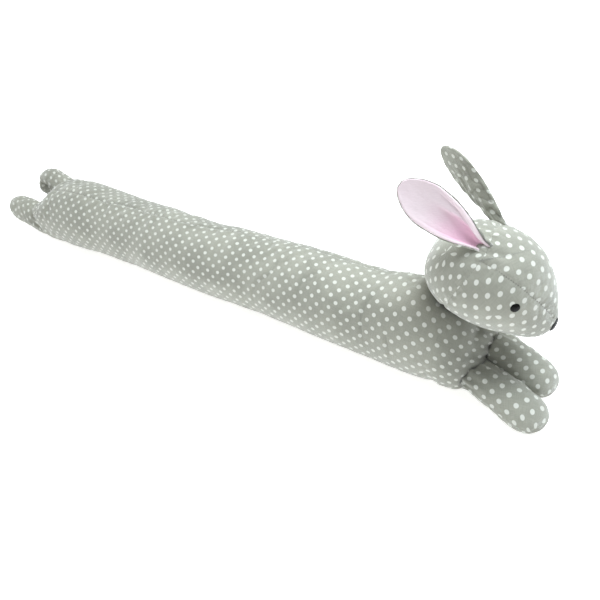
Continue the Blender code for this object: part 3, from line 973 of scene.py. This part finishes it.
def dotted_cotton():
    w = Weave("dotted_cotton_woven")
    cloth = w.place("cloth")
    drift = w.node("VectorMath", {0: w.noise(cloth, 0.6, 1.0, 1), 1: (0.5, 0.5, 0.5)}, operation="SUBTRACT")
    drift = w.node("VectorMath", {0: drift, "Scale": 0.10}, operation="SCALE")
    drawn = w.node("VectorMath", {0: cloth, 1: drift}, operation="ADD")
    u, v = w.split(drawn)
    du, dv = (w.math("SUBTRACT", w.math("FRACT", w.math("ADD", c, 0.5)), 0.5) for c in (u, v))
    gap = w.math("SQRT", w.math("ADD", w.math("MULTIPLY", du, du), w.math("MULTIPLY", dv, dv)))
    ragged = w.math("MULTIPLY_ADD", w.noise(cloth, 26.0, 2.0), 0.034, -0.017)
    gap = w.math("ADD", gap, ragged)
    dot = w.ramp(gap, DOT_RADIUS + 0.02, DOT_RADIUS - 0.02)
    grain = w.node("Mapping", {"Vector": cloth, "Rotation": (0, 0, math.radians(-50))})
    gu, gv = w.split(grain)
    weave = w.threads(gu, gv, 24)
    slub_one = w.noise(w.node("Mapping", {"Vector": grain, "Scale": (1.1, 22.0, 1.0)}), 1.0, 3.0)
    slub_two = w.noise(w.node("Mapping", {"Vector": grain, "Scale": (22.0, 1.1, 1.0)}), 1.0, 3.0)
    slub = w.math("ADD", slub_one, slub_two)
    mottle = w.noise(cloth, 0.22, 3.0)
    ground = w.mix(w.ramp(mottle, 0.35, 0.65), GREY_COTTON, PALE_COTTON)
    shade = w.ramp(slub, 0.7, 1.3, 0.90, 1.08)
    ground = w.node("VectorMath", {0: ground, "Scale": shade}, operation="SCALE")
    print_shade = w.ramp(slub, 0.7, 1.3, 0.96, 1.02)
    ink = w.node("VectorMath", {0: DOT_WHITE, "Scale": print_shade}, operation="SCALE")
    cover = w.math("MULTIPLY", dot, w.ramp(weave, 0.1, 1.2, 0.88, 0.99))
    colour = w.mix(cover, ground, ink)
    # Painted shade: darker where the mesh's shading attribute says shade falls, in creases, gathers, seam
    # grooves and under and between pieces.
    painted_shade = w.node("Attribute", output=2, attribute_name="painted_shade")
    colour = w.mix(w.ramp(painted_shade, 0.0, 2.0, 0.0, 0.85), colour, FOLD_SHADE)
    to_seam, along = w.split(w.place("seam"))
    from_seam = w.math("ABSOLUTE", to_seam)
    line = w.ramp(from_seam, 0.9, 0.25)
    colour = w.mix(w.math("MULTIPLY", line, 0.18), colour, SEAM_SHADE)
    hole_step = w.math("FRACT", w.math("DIVIDE", along, STITCH_STEP))
    hole = w.math("MULTIPLY", w.ramp(hole_step, 0.38, 0.30), w.ramp(from_seam, 0.8, 0.5))
    colour = w.mix(w.math("MULTIPLY", hole, 0.55), colour, STITCH_SHADE)
    fine = w.bump(weave, 0.00012, 0.55)
    outward_way, seam_way = w.math("MULTIPLY", to_seam, 0.10), w.math("MULTIPLY", along, 0.55)
    puckers = w.node("CombineXYZ", {0: outward_way, 1: seam_way})
    pucker = w.math("MULTIPLY", w.noise(puckers, 1.0, 2.0), w.ramp(from_seam, 9.0, 1.0))
    soft = w.bump(pucker, 0.0011, 0.8, fine)
    crumple = w.bump(w.noise(cloth, 1.6, 4.0), 0.0012, 0.30, soft)
    return w.surface(
        Base_Color=colour, Roughness=w.ramp(slub, 0.7, 1.3, 0.90, 0.80), Normal=crumple,
        Sheen_Weight=0.6, Sheen_Roughness=0.5, Specular_IOR_Level=0.25,
    )


def pink_lining():
    w = Weave("pink_lining_woven")
    cloth = w.place("cloth")
    edge, along = w.split(w.place("seam"))
    gu, gv = w.split(cloth)
    weave = w.threads(gu, gv, 30)
    mottle = w.noise(cloth, 0.7, 3.0)
    # Painted shade: the pink deepens where the mesh's shading attribute says shade falls, with a random
    # mottle mixed in.
    depth = w.node("Attribute", output=2, attribute_name="painted_shade")
    depth = w.math("MULTIPLY_ADD", w.math("SUBTRACT", mottle, 0.5), 0.30, depth)
    colour = w.mix(w.ramp(depth, 0.0, 0.95), LINING_PALE, LINING_SHADED_PINK)
    rim = w.ramp(edge, 4.6, 3.6)
    colour = w.mix(w.math("MULTIPLY", rim, 0.6), colour, LINING_RIM)
    # Painted shade in the groove along the inner edge of the rolled rim.
    shaded_crease = w.math("MULTIPLY", w.ramp(edge, 3.9, 4.4), w.ramp(edge, 5.6, 4.7))
    colour = w.mix(w.math("MULTIPLY", shaded_crease, 0.16), colour, LINING_CREASE_SHADE)
    slub = w.noise(w.node("Mapping", {"Vector": cloth, "Scale": (1.5, 26.0, 1.0)}), 1.0, 3.0)
    shade = w.ramp(slub, 0.3, 0.7, 0.95, 1.03)
    colour = w.node("VectorMath", {0: colour, "Scale": shade}, operation="SCALE")
    fine = w.bump(weave, 0.0001, 0.5)
    soft = w.bump(w.noise(cloth, 2.2, 4.0), 0.0010, 0.35, fine)
    return w.surface(
        Base_Color=colour, Roughness=w.ramp(slub, 0.3, 0.7, 0.82, 0.70), Normal=soft,
        Sheen_Weight=0.2, Sheen_Roughness=0.4, Specular_IOR_Level=0.3,
    )


def black_plastic():
    w = Weave("black_plastic_gloss")
    place = w.node("TexCoord", output=3)
    dust = w.noise(place, 900.0, 3.0)
    haze = w.noise(place, 220.0, 2.0)
    colour = w.mix(w.ramp(dust, 0.62, 0.75, 0.0, 0.25), (0.004, 0.004, 0.004), (0.012, 0.012, 0.011))
    normal = w.bump(haze, 0.00005, 0.25)
    return w.surface(
        Base_Color=colour, Roughness=w.ramp(haze, 0.35, 0.65, 0.22, 0.34), Normal=normal,
        Specular_IOR_Level=0.12,
    )


def black_thread():
    w = Weave("black_thread_satin")
    across, up = w.split(w.place("cloth"))
    wander = w.math("MULTIPLY_ADD", w.noise(w.place("cloth"), 0.8, 2.0), 0.5, up)
    strand = w.math("ABSOLUTE", w.math("SINE", w.math("MULTIPLY", wander, math.pi / 0.55)))
    twist = w.math("MULTIPLY_ADD", across, 5.0, w.math("MULTIPLY", up, 9.0))
    ply = w.math("MULTIPLY_ADD", w.math("SINE", twist), 0.15, strand)
    # Painted shade: the grooves between the strands are drawn darker than their crests.
    colour = w.mix(w.ramp(strand, 0.0, 1.0), (0.006, 0.006, 0.007), (0.030, 0.029, 0.030))
    normal = w.bump(ply, 0.00022, 0.9)
    return w.surface(
        Base_Color=colour, Roughness=w.ramp(strand, 0.0, 1.0, 0.75, 0.42), Normal=normal,
        Sheen_Weight=0.2, Sheen_Roughness=0.4,
    )


def glowing_floor():
    w = Weave("glowing_floor")
    tone = w.noise(w.node("TexCoord", output=3), 1.5, 2.0)
    colour = w.mix(tone, (0.90, 0.90, 0.90), (0.93, 0.93, 0.93))
    # The floor glows: painted light that keeps it white, thins the toy's contact shadow and lights the toy's
    # undersides.
    return w.surface(
        Base_Color=colour, Roughness=0.9, Specular_IOR_Level=0.1,
        Emission_Color=(1, 1, 1), Emission_Strength=0.65,
    )


def make_floor():
    mesh = bpy.data.meshes.new("floor")
    ways = ((-1, -1), (1, -1), (1, 1), (-1, 1))
    corners = [(x * FLOOR_HALF, y * FLOOR_HALF, -FLOOR_DROP) for x, y in ways]
    mesh.from_pydata(corners, [], [(0, 1, 2, 3)])
    mesh.materials.append(glowing_floor())
    floor = bpy.data.objects.new("floor", mesh)
    bpy.context.scene.collection.objects.link(floor)


def make_light(name, place, target, size, power, colour):
    data = bpy.data.lights.new(name, "AREA")
    data.shape = "DISK"
    data.size = size
    data.energy = power
    data.color = colour
    light = bpy.data.objects.new(name, data)
    light.location = place
    light.rotation_euler = (Vector(target) - Vector(place)).to_track_quat("-Z", "Y").to_euler()
    bpy.context.scene.collection.objects.link(light)


def make_studio():
    """Soft light all round, brightest from above and behind, with two broad lamps overhead.

    The camera sees a plain pale backdrop in place of that light."""
    world = bpy.data.worlds.new("studio")
    bpy.context.scene.world = world
    bpy.context.scene.view_settings.view_transform = "Standard"
    world.use_nodes = True
    tree = world.node_tree
    place = tree.nodes.new("ShaderNodeTexCoord")
    toward = tree.nodes.new("ShaderNodeVectorMath")
    toward.operation = "DOT_PRODUCT"
    toward.inputs[1].default_value = BRIGHT_SIDE
    level = tree.nodes.new("ShaderNodeMapRange")
    level.interpolation_type = "SMOOTHSTEP"
    level.inputs["From Min"].default_value = DIM_REACH
    level.inputs["To Min"].default_value = DIM_LEVEL
    level.inputs["To Max"].default_value = BRIGHT_LEVEL
    glow = tree.nodes["Background"]
    glow.inputs["Color"].default_value = STUDIO_TINT
    tree.links.new(place.outputs["Generated"], toward.inputs[0])
    tree.links.new(toward.outputs["Value"], level.inputs["Value"])
    tree.links.new(level.outputs["Result"], glow.inputs["Strength"])
    backdrop = tree.nodes.new("ShaderNodeBackground")
    sight = tree.nodes.new("ShaderNodeLightPath")
    choice = tree.nodes.new("ShaderNodeMixShader")
    tree.links.new(sight.outputs["Is Camera Ray"], choice.inputs["Fac"])
    tree.links.new(glow.outputs["Background"], choice.inputs[1])
    tree.links.new(backdrop.outputs["Background"], choice.inputs[2])
    tree.links.new(choice.outputs["Shader"], tree.nodes["World Output"].inputs["Surface"])
    for lamp in LIGHTS:
        make_light(*lamp)


def make_camera():
    data = bpy.data.cameras.new("camera")
    data.sensor_width = 36
    data.lens = CAMERA_LENS
    camera = bpy.data.objects.new("camera", data)
    yaw, pitch = math.radians(CAMERA_YAW), math.radians(CAMERA_PITCH)
    forward = Vector((math.cos(yaw) * math.cos(pitch), math.sin(yaw) * math.cos(pitch), -math.sin(pitch)))
    right = Vector((math.sin(yaw), -math.cos(yaw), 0))
    up = right.cross(forward)
    turn = Matrix((right, up, -forward)).transposed().to_4x4()
    camera.matrix_world = Matrix.Translation(CAMERA_PLACE) @ turn
    bpy.context.scene.collection.objects.link(camera)
    bpy.context.scene.camera = camera


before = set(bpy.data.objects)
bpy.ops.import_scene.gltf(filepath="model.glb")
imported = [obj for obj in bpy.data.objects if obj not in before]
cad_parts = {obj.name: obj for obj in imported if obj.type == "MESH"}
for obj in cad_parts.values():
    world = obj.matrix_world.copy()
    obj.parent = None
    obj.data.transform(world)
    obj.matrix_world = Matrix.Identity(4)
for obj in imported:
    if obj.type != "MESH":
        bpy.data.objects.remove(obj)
solids = bpy.context.evaluated_depsgraph_get()
SURFACES = {
    name: BVHTree.FromObject(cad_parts[name], solids)
    for name in ("body", "head", "paw_right", "paw_left")
}
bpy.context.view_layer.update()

cotton = dotted_cotton()
lining = pink_lining()
plastic = black_plastic()
thread = black_thread()
make_tube(cotton)
make_head(cotton)
for limb in LIMBS:
    make_limb(*limb, cotton)
for word, side in (("right", -1), ("left", 1)):
    make_ear(word, side, "ear", cotton)
    make_ear(word, side, "ear_lining", lining)
for word, point in zip(("right", "left"), EYE_POINTS):
    make_button("eye_" + word, point, rounded(3.2, 0.5, 14), 5.5, 5.5, plastic)
make_button("nose", NOSE_POINT, rounded(2.7, 0.3, 14), 8.0, 8.5, thread)
make_floor()
make_studio()
make_camera()
